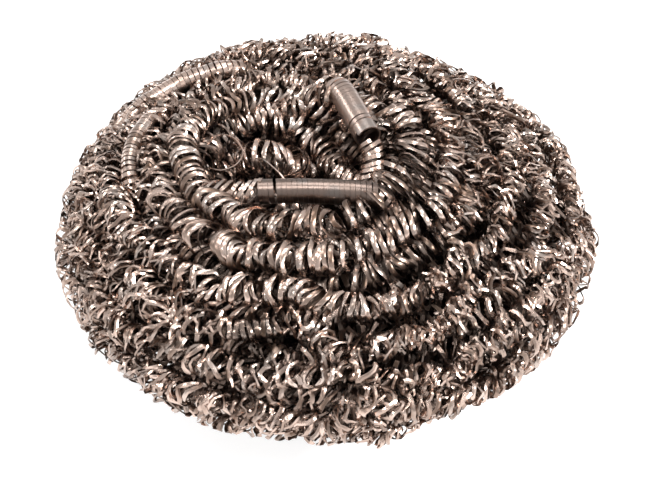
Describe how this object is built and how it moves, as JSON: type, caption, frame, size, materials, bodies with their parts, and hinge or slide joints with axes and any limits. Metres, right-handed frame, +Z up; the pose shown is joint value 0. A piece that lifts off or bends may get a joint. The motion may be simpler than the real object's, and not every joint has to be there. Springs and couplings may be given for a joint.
{
  "type": "stainless steel scourer",
  "caption": "Round scouring pad of flat steel ribbon coiled like a spring and wound into a low ball, with a hollow in its top where the close-wound ends lie.",
  "frame": {"origin": "middle of the underside, on the bench", "axes": "+Z up through the hollow in the top, +X to the right and +Y to the back as seen from the side where the strand's front end lies"},
  "size_m": [0.099, 0.099, 0.0408],
  "materials": {
    "steel_ribbon": "drawn flat ribbon, bright with a warm grey tint"
  },
  "bodies": {
    "root": {"wound_coil": "steel_ribbon"}
  },
  "joints": []
}
